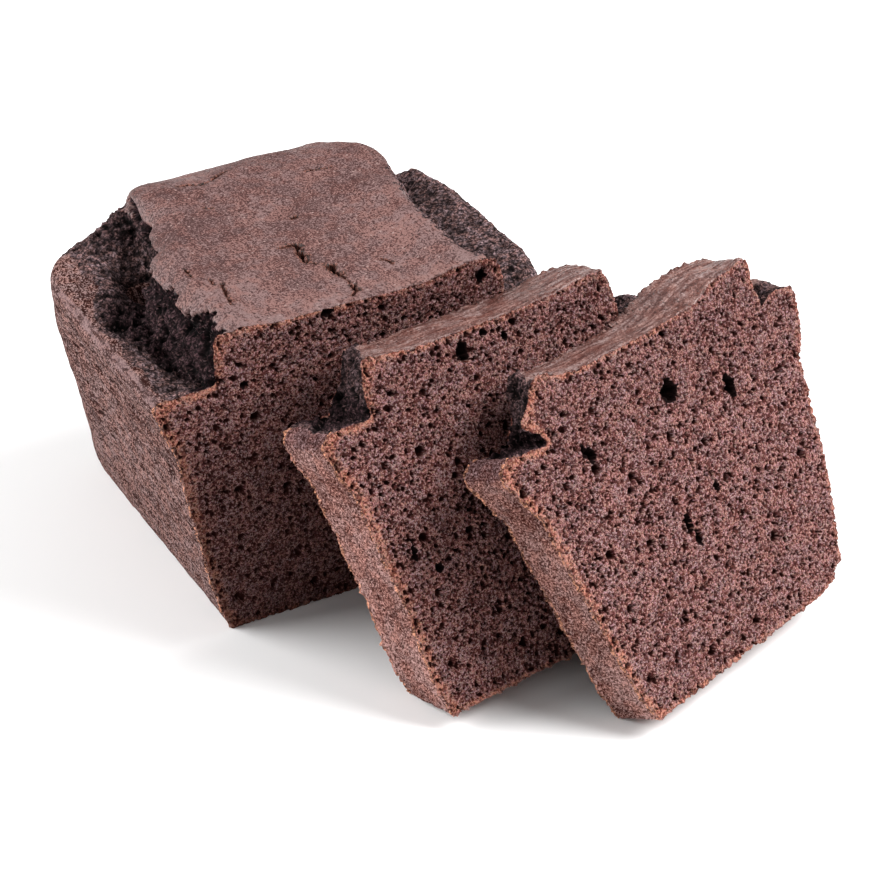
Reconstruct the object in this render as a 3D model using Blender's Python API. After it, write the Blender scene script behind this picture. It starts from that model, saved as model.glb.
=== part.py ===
"""A dark gingerbread loaf cake: the cut loaf, and two slices that lean back on its cut end.

Metres, +Z up. Every piece is a loft in a frame of its own: across (x, from the middle), deep (y, from the
cut face inwards) and high (z, from the foot). One outline of the cross-section is drawn at each depth,
always with the same number of points.
"""

import math
from dataclasses import dataclass, replace

import bpy
from mathutils import Vector, noise

# The tin's form, which all the pieces share
FOOT_HALF = 0.0345  # half the width at the foot
RIM_HEIGHT = 0.054
FOOT_ROUND = 0.0012
SAG_REACH = 0.020  # height at which a foot's sag has gone
LIP_FROM, LIP_TO = 0.0560, 0.0625  # heights between which the spilled crust bulges over the rim
LIP_ROUND = 0.0035
WALL_LEAN = 0.0022  # how far a torn wall's top stands in from its foot
LEFT_RISE_STRETCH = (0.018, 0.034)  # from the middle: where the crust climbs to its left edge
DROOP_STRETCH = (0.028, 0.038)  # and where its right edge hangs
FOOT_OUT_RISE = 0.5  # share of the rim's height at which a spread foot has narrowed again

# The loaf behind the cut
LOAF_LENGTH = 0.0800
END_FLARE = 0.0030  # how far the far end leans out between foot and rim
END_FLARE_GROWTH = 4  # the power by which that lean sets in along the loaf
END_CORNER_FOOT = (0.006, 0.006)  # the far end's corners in plan: across and deep
END_CORNER_RIM = (0.030, 0.026)
END_CORNER_WALL = 0.35  # share of the rim's corner that the plateau's walls follow
END_DOME = 0.020  # depth over which the top rounds down to the far end
END_DROP = 0.013
CROWN = 0.0008  # how much higher the crust is half way along
DOME_BAND = (0.045, 0.070)  # heights between which the drop sets in
LEFT_TEAR = (0.0365, 0.0258)  # middle to the plateau's left wall, near the cut and beyond the bend
LEFT_TEAR_BEND = (0.034, 0.047)
RIGHT_TEAR = (0.0315, 0.0355)
RIGHT_TEAR_BEND = (0.027, 0.050)
CUT_EDGE_BLEND = 0.006  # depth over which the cut face's own outline gives way to the loaf's
VALLEY_FLOOR = 0.0660  # the left shelf, between the plateau and its ridge
VALLEY_TOP = 0.0770
VALLEY_END = (0.056, 0.068)  # where it climbs to the plateau at the far end
RIDGE_BEND = (0.003, 0.016)  # where the right shelf's outer edge rises to its ridge
RIDGE_END = (0.044, 0.062)  # where the ridge comes down, and the shelf dips at the plateau's far corner
RIDGE_END_SHELF = (0.0705, 0.0615)
LIP_FADE = (0.044, 0.068)  # where the left lip merges into the side
LIP_FADE_RIM = 0.0032  # how far the side's own rim comes out there
FOLD_FADE = (0.030, 0.066)
PIT_AT, PIT_DEPTH, PIT_REACH = (-0.031, 0.049), 0.006, 0.005
PIT_BAND = (0.056, 0.075)  # heights of the shelf that the pit sinks

# Relief: (height, spacing), and how much of it is left at a cut face
SIDE_RELIEF = (0.0005, 0.013)
CRUST_RELIEF = (0.0007, 0.017)
TORN_RELIEF = (0.0016, 0.0052)
RELIEF_AT_CUT, RELIEF_BLEND = 0.35, 0.005
RELIEF_CALM_FOOT = 0.012  # height below which the sides' relief fades to nothing
FINE_RELIEF, FINE_SPACING = 0.4, 2.3  # a finer layer: its share of the height, and how much closer it is

LOAF_SEED, SLICE_SEED = Vector((3.1, 7.7, 1.3)), Vector((11.3, 5.9, 8.1))  # places in the noise

# Points along each stretch of the outline
FOOT_POINTS, SIDE_POINTS, LIP_POINTS, SHELF_POINTS, WALL_POINTS, CRUST_POINTS = 8, 11, 5, 6, 5, 18
STRAIGHT_STATIONS, TURN_STATIONS = 18, 8  # outlines along the loaf's straight part and around its far end
SLICE_STEPS = 4

CRUMB_COLOUR = (0.105, 0.045, 0.034, 1.0)
CRUMB_ROUGHNESS = 0.85


@dataclass(frozen=True)
class Flank:
    """One half of a cross-section: from the foot over the lip and the torn shelf to the plateau's wall."""

    rim: float  # half the width at the tin's rim
    bow: float  # how far the side bulges between foot and rim
    lip: float  # how far the crust spilled over the rim
    lip_top: float  # height where the lip starts to round over to the shelf
    shelf: tuple  # height at the lip and at the wall's foot
    wall: float  # from the middle to the torn wall
    overhang: float = 0.0
    foot_out: float = 0.0  # how much wider it stands at the foot
    corner_foot: float = 0.0  # what the far end's corner takes off at the foot and at the rim
    corner_rim: float = 0.0


@dataclass(frozen=True)
class Section:
    """What draws one cross-section. Heights are measured from the foot."""

    left: Flank
    right: Flank
    trough: float  # the crust's height along its lowest stretch
    left_rise: float  # how much higher it is at the left edge
    fold_rise: float  # how much higher it is right of the fold
    fold: tuple = (0.017, 0.027)  # the fold's stretch, from the middle
    droop: float = 0.0012  # how much the right edge hangs
    sag: tuple = (0.0, 0.0)  # how far the foot hangs at its left and at its right end
    drop: float = 0.0  # how much the far end's dome takes off the top


LOAF_CUT = Section(
    left=Flank(0.0462, 0.0006, 0.0048, 0.0655, (0.0682, 0.0692), 0.0360, 0.0004),
    right=Flank(0.0460, 0.0010, 0.0056, 0.0670, (0.0695, 0.0700), 0.0378),
    trough=0.0805,
    left_rise=0.0018,
    fold_rise=0.0024,
)
LOAF_RIDGE = replace(LOAF_CUT.right, lip=0.0066, lip_top=0.0680, shelf=(0.0732, 0.0695))
INNER_CUT = Section(
    left=Flank(0.0462, 0.0006, 0.0048, 0.0655, (0.0688, 0.0684), 0.0374, 0.0008, 0.0020),
    right=Flank(0.0448, 0.0018, 0.0052, 0.0670, (0.0685, 0.0676), 0.0335),
    trough=0.0793,
    left_rise=0.0018,
    fold_rise=0.0012,
    sag=(0.0026, 0.0012),
)
INNER_BACK = replace(
    INNER_CUT,
    right=replace(INNER_CUT.right, wall=0.0392),
    trough=0.0797,
    fold_rise=0.0008,
    sag=(0.0, 0.0),
)
OUTER_CUT = Section(
    left=Flank(0.0460, 0.0006, 0.0066, 0.0650, (0.0692, 0.0678), 0.0372, 0.0048),
    right=Flank(0.0441, 0.0015, 0.0044, 0.0680, (0.0702, 0.0697), 0.0392),
    trough=0.0790,
    left_rise=0.0018,
    fold_rise=0.0032,
    sag=(0.0006, -0.0028),
)
OUTER_BACK = replace(
    OUTER_CUT,
    left=replace(OUTER_CUT.left, overhang=0.0020, foot_out=0.0008),
    trough=0.0806,
    fold_rise=0.0050,
    fold=(-0.004, 0.022),
    sag=(0.0, 0.0),
)


@dataclass(frozen=True)
class Slice:
    name: str
    cut: Section  # the face that shows
    back: Section
    thickness: float
    foot: tuple  # middle of the bottom back edge, on the ground
    turn: float  # degrees about +Z
    lean: float  # degrees back from upright


SLICES = (
    Slice("slice_inner", INNER_CUT, INNER_BACK, 0.0169, (0.0263, -0.0350), 8.4, 24.0),
    Slice("slice_outer", OUTER_CUT, OUTER_BACK, 0.0130, (0.0614, -0.0605), 16.0, 29.6),
)


def ease(value, start, end):
    """0 up to start, 1 from end on, smooth between."""
    share = min(max((value - start) / (end - start), 0.0), 1.0)
    return share * share * (3 - 2 * share)


def mix(a, b, share):
    """Between two numbers, two tuples or two sections, each of their numbers changes evenly."""
    if isinstance(a, tuple):
        return tuple(mix(p, q, share) for p, q in zip(a, b))
    if isinstance(a, (Flank, Section)):
        mixed = {name: mix(value, getattr(b, name), share) for name, value in vars(a).items()}
        return replace(a, **mixed)
    return a + (b - a) * share


def spread(count):
    """count shares from 0, short of 1: each stretch ends where the next begins."""
    return [i / count for i in range(count)]


def arc_loss(depth, length, reach):
    """0 until a quarter ellipse of that reach begins, then up to 1 at the end."""
    share = min(max((depth - (length - reach)) / reach, 0.0), 1.0)
    return 1 - math.sqrt(1 - share * share)


def half_width(height, flank):
    """From the middle to the side at a height: the tin's flare, and the lip over its rim."""
    rise = min(height / RIM_HEIGHT, 1.0)
    half = mix(FOOT_HALF, flank.rim, rise) + flank.bow * math.sin(math.pi * rise)
    half += flank.lip * ease(height, LIP_FROM, LIP_TO)
    half += flank.foot_out * (1 - ease(rise, 0.0, FOOT_OUT_RISE))
    half -= FOOT_ROUND * (1 - min(height / (2 * FOOT_ROUND), 1.0)) ** 2
    return half - mix(flank.corner_foot, flank.corner_rim, rise)


def shelf_edge(flank):
    """Where the lip has rounded over to the shelf."""
    return half_width(flank.lip_top, flank) - LIP_ROUND


def wall_foot(flank):
    return min(flank.wall, shelf_edge(flank) - LIP_ROUND)


def side(flank):
    """The side from the foot to where its lip starts to round over."""
    heights = [flank.lip_top * share for share in spread(SIDE_POINTS)]
    return [(half_width(height, flank), height, "side") for height in heights]


def lip(flank):
    """The lip, rounding over to the shelf's outer height."""
    half = half_width(flank.lip_top, flank)
    points = []
    for share in spread(LIP_POINTS):
        turn = share * math.pi / 2
        height = mix(flank.lip_top, flank.shelf[0], math.sin(turn))
        points.append((half - LIP_ROUND * (1 - math.cos(turn)), height, "side"))
    return points


def shelf(flank):
    """The torn shelf, from the lip in to the wall's foot."""
    start, end = (shelf_edge(flank), flank.shelf[0]), (wall_foot(flank), flank.shelf[1])
    return [(*mix(start, end, share), "shelf") for share in spread(SHELF_POINTS)]


def wall(flank, top):
    """The torn wall, from the shelf up to the plateau's edge at that height."""
    points = []
    for share in spread(WALL_POINTS):
        bulge = flank.overhang * math.sin(math.pi * share) ** 2
        half = wall_foot(flank) - WALL_LEAN * share**3 + bulge
        points.append((half, mix(flank.shelf[1], top, share), "wall"))
    return points


def crust_height(across, section):
    """The plateau: a shallow trough with a raised left edge, and a fold that lifts its right."""
    left = section.left_rise * ease(-across, *LEFT_RISE_STRETCH)
    fold = section.fold_rise * ease(across, *section.fold)
    return section.trough + left + fold - section.droop * ease(across, *DROOP_STRETCH)


def flank_points(section, sign):
    """All of one flank, from the foot up."""
    flank = section.right if sign > 0 else section.left
    top = crust_height(sign * (wall_foot(flank) - WALL_LEAN), section)
    points = side(flank) + lip(flank) + shelf(flank) + wall(flank, top)
    return [(sign * half, height, kind) for half, height, kind in points]


def crust(section):
    """The plateau's crust, from its right edge to its left."""
    right = wall_foot(section.right) - WALL_LEAN
    left = WALL_LEAN - wall_foot(section.left)
    steps = [mix(right, left, share) for share in spread(CRUST_POINTS)]
    return [(across, crust_height(across, section), "crust") for across in steps]


def outline(section):
    """The whole cross-section, anticlockwise from its left foot as the cut face is seen."""
    left, right = half_width(0.0, section.left), half_width(0.0, section.right)
    foot = [(mix(-left, right, share), 0.0, "foot") for share in spread(FOOT_POINTS)]
    falling = reversed(flank_points(section, -1)[1:])
    points = foot + flank_points(section, 1) + crust(section) + list(falling)
    settled = []
    for x, z, kind in points:
        hang = mix(*section.sag, x / (2 * FOOT_HALF) + 0.5) * (1 - ease(z, 0.0, SAG_REACH))
        settled.append((x, z - hang - section.drop * ease(z, *DOME_BAND), kind))
    return settled


def relief(point, depth, seed, calm):
    """The point moved by its stretch's unevenness: walls and sides across, shelves and crust up."""
    x, z, kind = point
    if kind == "foot":
        return x, z
    size, spacing = {"side": SIDE_RELIEF, "crust": CRUST_RELIEF}.get(kind, TORN_RELIEF)
    place = Vector((x, depth, z)) / spacing
    bump = noise.noise(place + seed) + FINE_RELIEF * noise.noise(place * FINE_SPACING - seed)
    bump *= size * calm
    if kind in ("side", "wall"):
        return x + math.copysign(bump * min(z / RELIEF_CALM_FOOT, 1.0), x), z
    return x, z + bump


def loft(name, stations, seed, cut_at_back, end_flare=0.0):
    """A closed mesh through the outlines at these (depth, section) stations; the last may flare out."""
    last = stations[-1][0]
    verts, faces = [], []
    for depth, section in stations:
        calm = mix(RELIEF_AT_CUT, 1.0, ease(depth, 0.0, RELIEF_BLEND))
        if cut_at_back:
            calm *= mix(RELIEF_AT_CUT, 1.0, ease(last - depth, 0.0, RELIEF_BLEND))
        for point in outline(section):
            x, z = relief(point, depth, seed, calm)
            y = depth + end_flare * min(z / RIM_HEIGHT, 1.0) * (depth / last) ** END_FLARE_GROWTH
            verts.append((x, y, z))
    count = len(verts) // len(stations)
    for ring in range(len(stations) - 1):
        for i in range(count):
            a, b = ring * count + i, ring * count + (i + 1) % count
            faces.append((a, a + count, b + count, b))
    faces.append(tuple(range(count)))
    faces.append(tuple(reversed(range((len(stations) - 1) * count, len(verts)))))
    mesh = bpy.data.meshes.new(name)
    mesh.from_pydata(verts, [], faces)
    mesh.validate()
    obj = bpy.data.objects.new(name, mesh)
    mesh.materials.append(crumb_material(name))
    return obj


def crumb_material(name):
    material = bpy.data.materials.new(name + "_crumb")
    material.use_nodes = True
    shader = material.node_tree.nodes["Principled BSDF"]
    shader.inputs["Base Color"].default_value = CRUMB_COLOUR
    shader.inputs["Roughness"].default_value = CRUMB_ROUGHNESS
    shader.inputs["Metallic"].default_value = 0.0
    return material


def loaf_section(depth):
    """The loaf's cross-section at a depth: torn edges, valley, and the rounding of its far end."""
    inside = ease(depth, 0.0, CUT_EDGE_BLEND)
    foot_loss = END_CORNER_FOOT[0] * arc_loss(depth, LOAF_LENGTH, END_CORNER_FOOT[1])
    rim_loss = END_CORNER_RIM[0] * arc_loss(depth, LOAF_LENGTH, END_CORNER_RIM[1])
    wall_loss = END_CORNER_WALL * rim_loss
    fade = ease(depth, *LIP_FADE)
    valley = mix(VALLEY_FLOOR, VALLEY_TOP, ease(depth, *VALLEY_END))
    left, right = LOAF_CUT.left, mix(LOAF_CUT.right, LOAF_RIDGE, ease(depth, *RIDGE_BEND))
    left = replace(
        left,
        rim=left.rim + LIP_FADE_RIM * fade,
        lip=left.lip * (1 - fade),
        shelf=(left.shelf[0], mix(left.shelf[1], valley, inside)),
        wall=mix(left.wall, mix(*LEFT_TEAR, ease(depth, *LEFT_TEAR_BEND)), inside) - wall_loss,
        corner_foot=foot_loss,
        corner_rim=rim_loss,
    )
    right = replace(
        right,
        shelf=mix(right.shelf, RIDGE_END_SHELF, ease(depth, *RIDGE_END)),
        wall=mix(right.wall, mix(*RIGHT_TEAR, ease(depth, *RIGHT_TEAR_BEND)), inside) - wall_loss,
        corner_foot=foot_loss,
        corner_rim=rim_loss,
    )
    return replace(
        LOAF_CUT,
        left=left,
        right=right,
        trough=LOAF_CUT.trough + CROWN * math.sin(math.pi * depth / LOAF_LENGTH),
        fold_rise=LOAF_CUT.fold_rise * (1 - ease(depth, *FOLD_FADE)),
        drop=END_DROP * arc_loss(depth, LOAF_LENGTH, END_DOME),
    )


def loaf_depths():
    """Even steps to where the far end starts to round, then steps of equal turn."""
    straight = LOAF_LENGTH - END_CORNER_RIM[1]
    along = [straight * share for share in spread(STRAIGHT_STATIONS)]
    turns = [math.pi / 2 * i / TURN_STATIONS for i in range(TURN_STATIONS + 1)]
    return along + [straight + END_CORNER_RIM[1] * math.sin(turn) for turn in turns]


def sink_pit(obj):
    """The deep hole at the plateau's left foot."""
    for vertex in obj.data.vertices:
        away = math.dist(vertex.co[:2], PIT_AT)
        if PIT_BAND[0] < vertex.co.z < PIT_BAND[1]:
            vertex.co.z -= PIT_DEPTH * math.exp(-((away / PIT_REACH) ** 2))


def make_loaf():
    stations = [(depth, loaf_section(depth)) for depth in loaf_depths()]
    loaf = loft("loaf", stations, LOAF_SEED, False, END_FLARE)
    sink_pit(loaf)
    return loaf


def make_slice(piece, seed):
    """A slice, drawn with its back face at y = 0 so that it stands on its bottom back edge."""
    shares = [i / SLICE_STEPS for i in range(SLICE_STEPS + 1)]
    stations = [(piece.thickness * share, mix(piece.cut, piece.back, share)) for share in shares]
    obj = loft(piece.name, stations, seed, True)
    for vertex in obj.data.vertices:
        vertex.co.y -= piece.thickness
    obj.rotation_euler = (-math.radians(piece.lean), 0.0, math.radians(piece.turn))
    obj.location = (*piece.foot, 0.0)
    return obj


def stand_on_origin(pieces):
    """Hangs the pieces on one empty, which brings the middle of their common foot to the origin."""
    bpy.context.view_layer.update()
    corners = [obj.matrix_world @ vertex.co for obj in pieces for vertex in obj.data.vertices]
    low = [min(corner[i] for corner in corners) for i in range(3)]
    high = [max(corner[i] for corner in corners) for i in range(3)]
    root = bpy.data.objects.new("cake", None)
    root.location = (-(low[0] + high[0]) / 2, -(low[1] + high[1]) / 2, -low[2])
    for obj in pieces:
        obj.parent = root
    return root


def main():
    for obj in list(bpy.data.objects):
        bpy.data.objects.remove(obj)
    collection = bpy.data.collections.new("gingerbread_cake")
    bpy.context.scene.collection.children.link(collection)
    pieces = [make_loaf()]
    for number, piece in enumerate(SLICES, start=1):
        pieces.append(make_slice(piece, SLICE_SEED * number))
    for obj in pieces:
        collection.objects.link(obj)
    collection.objects.link(stand_on_origin(pieces))


main()
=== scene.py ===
"""The looks of the gingerbread cake: crumb, crust and torn crumb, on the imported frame.

Lengths are in millimetres in each piece's own frame, as in the part: across (u, from the middle), deep (w,
from the cut face inwards) and high (v, from the foot). MM brings them to metres.

Each piece is a fine copy of its solid, smoothed and corrected a little. Every vertex keeps its place before
the relief and its shares of the zones: cut face, crust, torn crumb, and side where it has none of these. The
same noises and pits then make the relief, in Geometry Nodes, and the colours, in the material.
"""

import math

import bpy
import numpy as np
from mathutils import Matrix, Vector


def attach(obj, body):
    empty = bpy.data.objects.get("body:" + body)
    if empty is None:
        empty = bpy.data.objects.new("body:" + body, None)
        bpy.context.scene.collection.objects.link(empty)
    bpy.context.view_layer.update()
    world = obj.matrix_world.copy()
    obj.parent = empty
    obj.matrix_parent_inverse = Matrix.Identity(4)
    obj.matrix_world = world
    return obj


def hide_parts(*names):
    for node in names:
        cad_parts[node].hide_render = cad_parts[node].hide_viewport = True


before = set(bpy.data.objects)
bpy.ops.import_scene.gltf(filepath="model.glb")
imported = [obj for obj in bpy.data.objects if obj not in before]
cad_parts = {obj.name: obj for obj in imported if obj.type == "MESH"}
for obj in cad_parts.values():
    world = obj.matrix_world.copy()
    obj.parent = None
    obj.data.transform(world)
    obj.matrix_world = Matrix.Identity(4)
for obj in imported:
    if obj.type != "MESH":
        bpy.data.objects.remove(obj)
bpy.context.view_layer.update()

MM = 0.001

# The camera: its place from the middle of the loaf's front bottom edge, and its turn
CAMERA_AT = (-255.76, -467.3, 405.09)
CAMERA_TURN = (55.65, -1.446, -29.879)  # degrees
CAMERA_LENS, CAMERA_SENSOR = 112.626, 36.0
CAMERA_SEES = 10.0  # metres

# Light: two soft round boxes, high on the camera's right and lower on its left, and a little from all round
WORLD_STRENGTH = 0.34
LIGHT_AIM, LIGHT_SIZE = (0, 0, 20), 700
LIGHTS = (("right", (530, -304, 728), 17.2), ("left", (-747, 429, 402), 13.8))
FLOOR_COLOUR = (0.9, 0.9, 0.9, 1.0)
FLOOR_ROUGHNESS = 0.9
FLOOR_HALF = 4000

# Mesh: the voxel size, and the most triangles that a piece keeps
VOXEL = {"loaf": 0.42, "slice_inner": 0.32, "slice_outer": 0.30}
MOST_TRIANGLES = 199_000
SMOOTHING_ROUNDS, SMOOTHING_SHARE = 24, 0.6  # takes the solid's facets out
HOLLOW_ROUNDS, HOLLOW = 25, (0.1, 0.5)  # how an inner corner is told, in millimetres
RIM_KEPT = (0.6, 3.0)  # distance from a cut face over which the smoothing sets in
FOOT_KEPT = (0.3, 2.0)  # and height over which it does
UV_GAP = 2.0  # between the six projections of the bake layout

# Zones, by height and by the surface's slope
CUT_SLOPE = (0.55, 0.8)  # how straight a cut face's normal points forward or back
CUT_REACH = 0.9  # and how far from the piece's front or back it may lie
CUT_FROM = 0.4  # the share from which a vertex counts as cut
RIM_SPREAD = 3.2  # how far in from the outline a cut face is lighter
SPREAD_RATE = 0.6  # squared voxels that the spreading covers in one round
EDGE_SPREAD = (2.4, 0.4)  # how far from a cut face the crust's edge is ragged and worn
CRUST_FROM, CRUST_BLEND = 74.5, 0.5  # the plateau lies above, the torn shelves below
DOME_DEPTH, DOME_FROM, DOME_HALF = 58.0, 58.0, 30.0  # where the crust runs down the far end
DOME_NARROWER = 5.0  # on the left
SLICE_CRUST = {"slice_inner": (-35.5, 0.6), "slice_outer": (-36.0, 0.7)}  # its left end and that end's slant
LOAF_CRUST_SLOPE, SLICE_CRUST_SLOPE = (0.25, 0.4), (0.5, 0.66)
DOME_UP, DOME_BACK = (0.1, 0.4), (0.1, 0.3)  # the slopes up and back that the far end's crust has
TORN_FROM, TORN_BLEND = 65.0, 1.2
TORN_DROP = 7.0  # how much lower the torn crumb starts on the loaf's right
TORN_HALF = 48.0  # half width of the torn shelf: inside it is torn, outside is the lip
RIGHT_LIP = 43.0  # beyond this the right side is torn only where it faces up
NO_LIP = 80.0  # a half width beyond the cake, where no lip is left out
FLAP_HALF, FLAP_FROM = 42.0, (38, 52)  # half width and depth where some crust is left on the left shelf
FLAP_ACROSS, FLAP_DEEP = (-34.0, -37.0), (40.0, 52.0)  # where that crust sets in
FLAP_END, FLAP_THICK = 62.5, 1.1  # depth at which it ends in a small step, and the step
CORNER = {"loaf": 1.0, "slice_inner": -1.0, "slice_outer": -1.0}  # how much fuller the inner corners are
UNDERCUT, UNDERCUT_FROM = 1.2, (74.0, 76.0)  # how far the loaf's torn wall stands back under its crust

# Along the depth, where the loaf's crust ends on both sides and how far out the left shelf is deep and dark
DEPTHS = (0, 6, 9, 13, 19, 21, 29, 38, 44, 49, 55, 62, 66, 82)
CRUST_LEFT = (-32.5, -33.2, -32, -35.8, -37.6, -34.8, -37, -35.4, -32.8, -30.4, -28.3, -26.8, -26, -24)
CRUST_RIGHT = (31.6, 29.6, 28.9, 28.6, 28.4, 28.6, 29.6, 31.3, 32.8, 34, 35.8, 38, 39, 42)
DARK_LEFT = (-35.5, -39.4, -40.4, -41.3, -42.5, -43, -45.6, -46.6, -44.6, -43, -36.5, -36, -46, -46)

# Painted shade on the loaf's torn crumb, as a darkness: the left shelf's floor, and how much it fades
# over the depth. Then the wall behind it, painted near black in the shadow under the crust's edge: its
# darkness, its unevenness and the heights at which it sets in. Then the wall by the cut face, where the
# depths at which it fades come last
LEAST_DARK = 0.1
FLOOR_DARK, FLOOR_FADE, FLOOR_FADES = 0.96, 0.76, (36, 52)
WALL_DARK = ((0.7, 0.5, (68.5, 71.0)), (1.0, 0.7, (73.0, 75.5)), (1.5, 0.7, (74.5, 76.0)))
FRONT_DARK = ((1.0, 0.0, (66.5, 68.0), (6.0, 2.0)), (1.5, 0.5, (67.0, 68.5), (4.5, 2.5)))
WALL_ACROSS, RIGHT_ACROSS = (-44.0, -41.0), (50.0, 45.0)  # where left wall and right shelf are dark
# Painted shade on a slice's torn crumb: darker on its left, more so lower down, and less on its right
SLICE_DARK, SLICE_DARKER, SLICE_DARKER_HIGH = 0.65, 0.5, (74.0, 70.0)  # on a slice's left
SLICE_DARK_RIGHT = 0.45

# Corrections of the outline, each with its centre, its reach and the shift there, as (across, deep, high)
NUDGES = {
    "loaf": (
        ((-35.0, 0.0, 78.5), (6.0, 6.0, 5.0), (-0.8, 0.0, 2.2)),
        ((33.0, 58.0, 79.0), (9.0, 16.0, 9.0), (3.0, 0.0, 0.8)),
        ((43.0, 71.0, 70.0), (12.0, 8.5, 8.0), (0.0, 0.0, -4.0)),
        ((-26.5, 47.5, 78.5), (8.0, 9.0, 7.5), (-4.4, 0.0, 0.4)),
        ((48.2, 61.0, 71.0), (3.5, 4.0, 4.0), (0.0, 0.0, 1.5)),
        ((45.8, 65.0, 70.0), (3.5, 3.5, 4.0), (0.0, 0.0, -1.3)),
    ),
    "slice_inner": (
        ((-35.5, 0.0, 79.5), (6.0, 6.0, 5.0), (0.0, 0.0, 3.0)),
        ((-37.0, 15.0, 77.0), (12.0, 13.0, 9.0), (5.0, 0.0, -2.0)),
    ),
    "slice_outer": (
        ((-34.5, 0.0, 79.5), (8.0, 6.0, 6.0), (0.0, 0.0, 3.3)),
        ((-40.5, 0.0, 74.5), (4.0, 5.0, 3.5), (-1.8, 0.0, 0.0)),
        ((-40.0, 13.0, 77.0), (13.0, 11.0, 9.0), (5.0, 0.0, -2.5)),
        ((36.0, 0.0, 80.5), (7.0, 14.0, 6.0), (0.0, 0.0, 1.8)),
        ((44.0, 8.0, 70.0), (8.0, 8.0, 7.0), (0.0, 0.0, 5.5)),
        ((38.2, 0.0, 75.0), (5.0, 6.0, 6.0), (-2.4, 0.0, 0.0)),
        ((40.0, 0.0, 69.5), (6.0, 7.0, 5.0), (-2.0, 0.0, 0.8)),
        ((43.0, 0.0, 68.5), (4.5, 8.0, 5.0), (0.0, 0.0, 2.4)),
        ((47.8, 0.0, 68.0), (7.0, 14.0, 5.5), (0.6, 0.0, 2.9)),
        ((46.5, 0.0, 62.0), (4.0, 5.0, 3.0), (-1.2, 0.0, 0.0)),
        ((35.5, 0.0, 2.0), (9.0, 14.0, 6.0), (-0.5, 0.0, 2.2)),
        ((37.0, 0.0, 6.0), (2.8, 3.0, 2.2), (2.4, 0.0, 0.3)),
    ),
}

# Cracks in the plateau's crust, as (across, deep) points, with half width and depth
CRACKS = (
    (((-13.7, 65.6), (-11.2, 65.4), (-8.9, 63.7), (-5.1, 65.0), (-1.1, 67.4)), 0.45, 0.9),
    (((-6.3, 27.3), (-4.3, 27.2), (-2.4, 27.4)), 0.4, 0.6),
    (((-2.2, 27.4), (-2.7, 24.5), (-3.1, 22.0), (-3.2, 20.4)), 0.95, 2.0),
    (((-3.2, 20.4), (-1.9, 18.2)), 0.4, 0.8),
    (((0.3, 16.5), (0.7, 15.2), (1.0, 12.3)), 0.9, 2.0),
    (((1.0, 12.3), (1.5, 9.4), (1.4, 6.9)), 0.35, 0.6),
    (((1.6, 5.9), (1.6, 5.0)), 0.9, 2.2),
    (((1.2, 4.4), (-0.9, 2.6)), 0.35, 0.6),
    (((12.6, 13.2), (13.8, 10.1)), 0.35, 0.5),
    (((-26.7, 21.6), (-27.2, 18.5)), 0.4, 0.8),
    (((-25.1, 18.8), (-26.2, 14.6), (-27.1, 9.8)), 0.4, 0.8),
    (((-30.1, 27.3), (-30.3, 23.5)), 0.35, 0.7),
    (((-13.3, 51.9), (-11.9, 51.2)), 0.4, 0.8),
    (((15.7, 57.1), (18.9, 56.6), (21.9, 56.1)), 0.35, 0.6),
    (((2.5, 38.4), (4.0, 38.7)), 0.4, 0.7),
)

# Large holes in the cut faces, as (across, high, half width, half height, depth)
HOLES = {
    "loaf": ((-29.0, 66.6, 1.0, 0.8, 2.0), (-8.6, 79.4, 1.4, 1.3, 2.2), (31.0, 78.0, 1.3, 1.5, 2.2)),
    "slice_inner": (
        (-9.6, 74.8, 1.5, 2.2, 3.0),
        (-3.2, 77.0, 1.0, 0.8, 1.8),
        (2.3, 74.5, 0.9, 0.9, 1.8),
        (-28.7, 30.9, 1.0, 1.0, 1.8),
        (-34.0, 36.3, 0.7, 2.2, 1.6),
    ),
    "slice_outer": (
        (1.7, 64.3, 2.3, 2.6, 4.0),
        (20.2, 58.1, 1.4, 2.5, 4.0),
        (-26.4, 60.6, 1.4, 1.5, 2.6),
        (-28.2, 62.4, 0.8, 1.6, 1.8),
        (-5.6, 35.2, 0.9, 2.3, 2.0),
        (-4.4, 31.0, 0.9, 1.9, 2.0),
        (6.2, 39.2, 0.8, 1.1, 1.6),
    ),
}

# Pits: their spacing, their radius as a share of it, and the share of places that have one
SMALL_PORES = (0.95, 0.47, 0.9)
MIDDLING_PORES = (2.1, 0.38, 0.8)
LARGE_PORES = (7.5, 0.2, 0.6)
WIDE_PINHOLES = (2.6, 0.2, 0.9)
FINE_PINHOLES = (1.1, 0.3, 0.5)
TORN_PITS = (4.6, 0.26, 0.6)
LENGTHWISE = (1.0, 0.2, 1.0)  # stretches creases along the loaf
STREAKED = (1.0, 0.25, 1.0)  # and streaks
SMEARED = (0.16, 1.0, 1.0)  # stretches the slices' wrinkles across
CREASES_FROM, CREASES_TO, CREASES_END = (46.0, 54.0), (65.0, 62.5), (66.0, 63.0)  # heights

# Heights of the relief's parts, below 0 where they go in
SMALL_PORE, MIDDLING_PORE, LARGE_PORE = -0.6, -1.1, -2.4
PINHOLE, CREASE, SIDE_PORE, TORN_PIT = -0.45, -0.35, -0.3, -1.8

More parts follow.
